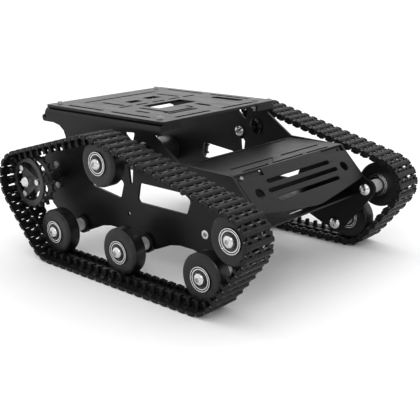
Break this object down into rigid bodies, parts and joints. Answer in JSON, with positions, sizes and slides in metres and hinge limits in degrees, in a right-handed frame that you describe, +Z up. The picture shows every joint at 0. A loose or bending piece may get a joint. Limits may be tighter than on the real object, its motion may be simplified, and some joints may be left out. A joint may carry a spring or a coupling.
{
  "type": "tracked robot chassis",
  "caption": "Tracked robot chassis of folded black sheet metal with bearing wheels, toothed drive sprockets, jointed link tracks and a slotted deck.",
  "frame": {"origin": "on the ground, midway along and midway across the tracks", "axes": "+X forward, +Y to the vehicle's left, +Z up"},
  "size_m": [0.2598, 0.212, 0.1177],
  "materials": {
    "sheet_metal": "satin black anodised sheet",
    "small_screw": "satin steel",
    "insert": "bright steel",
    "wheel": "turned black nylon",
    "bearing": "polished ring",
    "axle_steel": "zinc plated",
    "spacer": "turned aluminium",
    "sprocket": "dark anodised aluminium",
    "gearbox": "satin metal case",
    "motor_can": "plated steel can",
    "track": "moulded black nylon",
    "track_pin": "drawn wire"
  },
  "bodies": {
    "chassis": {"side_plate_right": "sheet_metal", "side_plate_left": "sheet_metal", "deck_plate": "sheet_metal", "bonnet_panel": "sheet_metal", "front_cross_plate": "sheet_metal", "deck_screws": "small_screw", "deck_nuts": "small_screw", "nose_screw": "small_screw", "threaded_inserts": "insert", "bearing_inner_rings_right": "bearing", "axle_bolts_right": "axle_steel", "wheel_screws_right": "axle_steel", "axle_washers_right": "axle_steel", "wheel_spacers_right": "spacer", "motor_screws_right": "small_screw", "gearbox_right": "gearbox", "motor_can_right": "motor_can", "track_links_right": "track", "track_pins_right": "track_pin", "bearing_inner_rings_left": "bearing", "axle_bolts_left": "axle_steel", "wheel_screws_left": "axle_steel", "axle_washers_left": "axle_steel", "wheel_spacers_left": "spacer", "motor_screws_left": "small_screw", "gearbox_left": "gearbox", "motor_can_left": "motor_can", "track_links_left": "track", "track_pins_left": "track_pin"},
    "sprocket_right": {"drive_shaft_right": "axle_steel", "sprocket_hub_right": "spacer", "sprocket_outer_disc_right": "sprocket", "sprocket_inner_disc_right": "sprocket", "sprocket_screws_right": "small_screw"},
    "road_wheel_rear_right": {"road_wheel_rear_right": "wheel", "road_wheel_rear_bearings_right": "bearing"},
    "road_wheel_mid_right": {"road_wheel_mid_right": "wheel", "road_wheel_mid_bearings_right": "bearing"},
    "road_wheel_front_right": {"road_wheel_front_right": "wheel", "road_wheel_front_bearings_right": "bearing"},
    "idler_wheel_right": {"idler_wheel_right": "wheel", "idler_wheel_bearings_right": "bearing"},
    "return_roller_right": {"return_roller_right": "wheel", "return_roller_bearings_right": "bearing"},
    "sprocket_left": {"drive_shaft_left": "axle_steel", "sprocket_hub_left": "spacer", "sprocket_outer_disc_left": "sprocket", "sprocket_inner_disc_left": "sprocket", "sprocket_screws_left": "small_screw"},
    "road_wheel_rear_left": {"road_wheel_rear_left": "wheel", "road_wheel_rear_bearings_left": "bearing"},
    "road_wheel_mid_left": {"road_wheel_mid_left": "wheel", "road_wheel_mid_bearings_left": "bearing"},
    "road_wheel_front_left": {"road_wheel_front_left": "wheel", "road_wheel_front_bearings_left": "bearing"},
    "idler_wheel_left": {"idler_wheel_left": "wheel", "idler_wheel_bearings_left": "bearing"},
    "return_roller_left": {"return_roller_left": "wheel", "return_roller_bearings_left": "bearing"}
  },
  "joints": [
    {"name": "sprocket_right_spin", "type": "hinge", "parent": "chassis", "child": "sprocket_right", "pos_m": [-0.1041, -0.091, 0.0595], "axis": [0, 1, 0], "continuous": true},
    {"name": "road_wheel_rear_right_spin", "type": "hinge", "parent": "chassis", "child": "road_wheel_rear_right", "pos_m": [-0.075, -0.0909, 0.023], "axis": [0, 1, 0], "continuous": true},
    {"name": "road_wheel_mid_right_spin", "type": "hinge", "parent": "chassis", "child": "road_wheel_mid_right", "pos_m": [0, -0.0909, 0.023], "axis": [0, 1, 0], "continuous": true},
    {"name": "road_wheel_front_right_spin", "type": "hinge", "parent": "chassis", "child": "road_wheel_front_right", "pos_m": [0.081, -0.0909, 0.023], "axis": [0, 1, 0], "continuous": true},
    {"name": "idler_wheel_right_spin", "type": "hinge", "parent": "chassis", "child": "idler_wheel_right", "pos_m": [0.107, -0.0909, 0.055], "axis": [0, 1, 0], "continuous": true},
    {"name": "return_roller_right_spin", "type": "hinge", "parent": "chassis", "child": "return_roller_right", "pos_m": [-0.0185, -0.0909, 0.0862], "axis": [0, 1, 0], "continuous": true},
    {"name": "sprocket_left_spin", "type": "hinge", "parent": "chassis", "child": "sprocket_left", "pos_m": [-0.1041, 0.091, 0.0595], "axis": [0, 1, 0], "continuous": true},
    {"name": "road_wheel_rear_left_spin", "type": "hinge", "parent": "chassis", "child": "road_wheel_rear_left", "pos_m": [-0.075, 0.0909, 0.023], "axis": [0, 1, 0], "continuous": true},
    {"name": "road_wheel_mid_left_spin", "type": "hinge", "parent": "chassis", "child": "road_wheel_mid_left", "pos_m": [0, 0.0909, 0.023], "axis": [0, 1, 0], "continuous": true},
    {"name": "road_wheel_front_left_spin", "type": "hinge", "parent": "chassis", "child": "road_wheel_front_left", "pos_m": [0.081, 0.0909, 0.023], "axis": [0, 1, 0], "continuous": true},
    {"name": "idler_wheel_left_spin", "type": "hinge", "parent": "chassis", "child": "idler_wheel_left", "pos_m": [0.107, 0.0909, 0.055], "axis": [0, 1, 0], "continuous": true},
    {"name": "return_roller_left_spin", "type": "hinge", "parent": "chassis", "child": "return_roller_left", "pos_m": [-0.0185, 0.0909, 0.0862], "axis": [0, 1, 0], "continuous": true}
  ],
  "couplings": [
    {"joint": "road_wheel_rear_right_spin", "follows": "sprocket_right_spin", "ratio": 1.3716},
    {"joint": "road_wheel_mid_right_spin", "follows": "sprocket_right_spin", "ratio": 1.3716},
    {"joint": "road_wheel_front_right_spin", "follows": "sprocket_right_spin", "ratio": 1.3716},
    {"joint": "idler_wheel_right_spin", "follows": "sprocket_right_spin", "ratio": 1.3716},
    {"joint": "return_roller_right_spin", "follows": "sprocket_right_spin", "ratio": 1.3716},
    {"joint": "road_wheel_rear_left_spin", "follows": "sprocket_left_spin", "ratio": 1.3716},
    {"joint": "road_wheel_mid_left_spin", "follows": "sprocket_left_spin", "ratio": 1.3716},
    {"joint": "road_wheel_front_left_spin", "follows": "sprocket_left_spin", "ratio": 1.3716},
    {"joint": "idler_wheel_left_spin", "follows": "sprocket_left_spin", "ratio": 1.3716},
    {"joint": "return_roller_left_spin", "follows": "sprocket_left_spin", "ratio": 1.3716}
  ]
}
